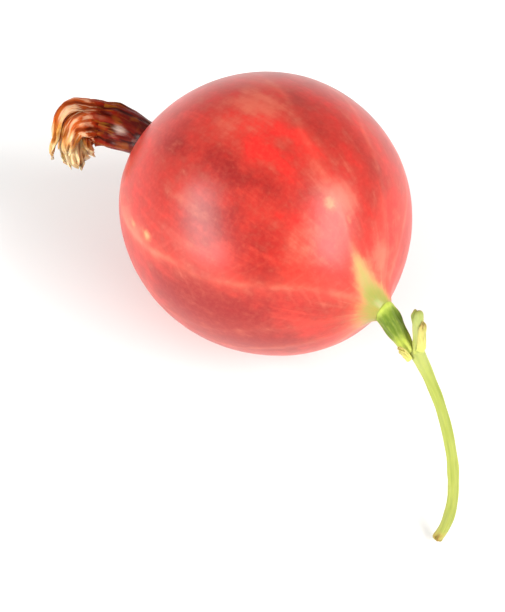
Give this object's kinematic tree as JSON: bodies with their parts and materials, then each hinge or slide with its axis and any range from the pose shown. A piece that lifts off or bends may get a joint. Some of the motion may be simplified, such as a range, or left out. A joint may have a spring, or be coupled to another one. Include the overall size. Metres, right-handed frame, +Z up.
{
  "type": "gooseberry",
  "caption": "Ripe red gooseberry as picked: a veined berry on its side, with its withered hooked flower and curved green stalk.",
  "frame": {"origin": "middle of the flat spot under the berry, on the surface that it rests on", "axes": "+X along the berry's axis from the withered flower to the stalk, +Z up from the resting surface, +Y across the berry"},
  "size_m": [0.0435, 0.0214, 0.0211],
  "materials": {
    "berry_skin": "satin fruit skin, translucent red with pale veins",
    "withered_flower": "dry, ribbed, dark red-brown to tan",
    "withered_petal": "dry, pale, thin",
    "pedicel_green": "satin green stem",
    "stalk_green": "satin yellow-green stem"
  },
  "bodies": {
    "root": {"berry": "berry_skin", "flower_tube": "withered_flower", "sepal_1": "withered_flower", "sepal_2": "withered_flower", "sepal_3": "withered_flower", "sepal_4": "withered_flower", "sepal_5": "withered_flower", "petal_1": "withered_petal", "petal_2": "withered_petal", "pedicel": "pedicel_green", "peduncle": "stalk_green", "side_stub": "stalk_green", "bract_1": "stalk_green", "bract_2": "stalk_green"}
  },
  "joints": []
}
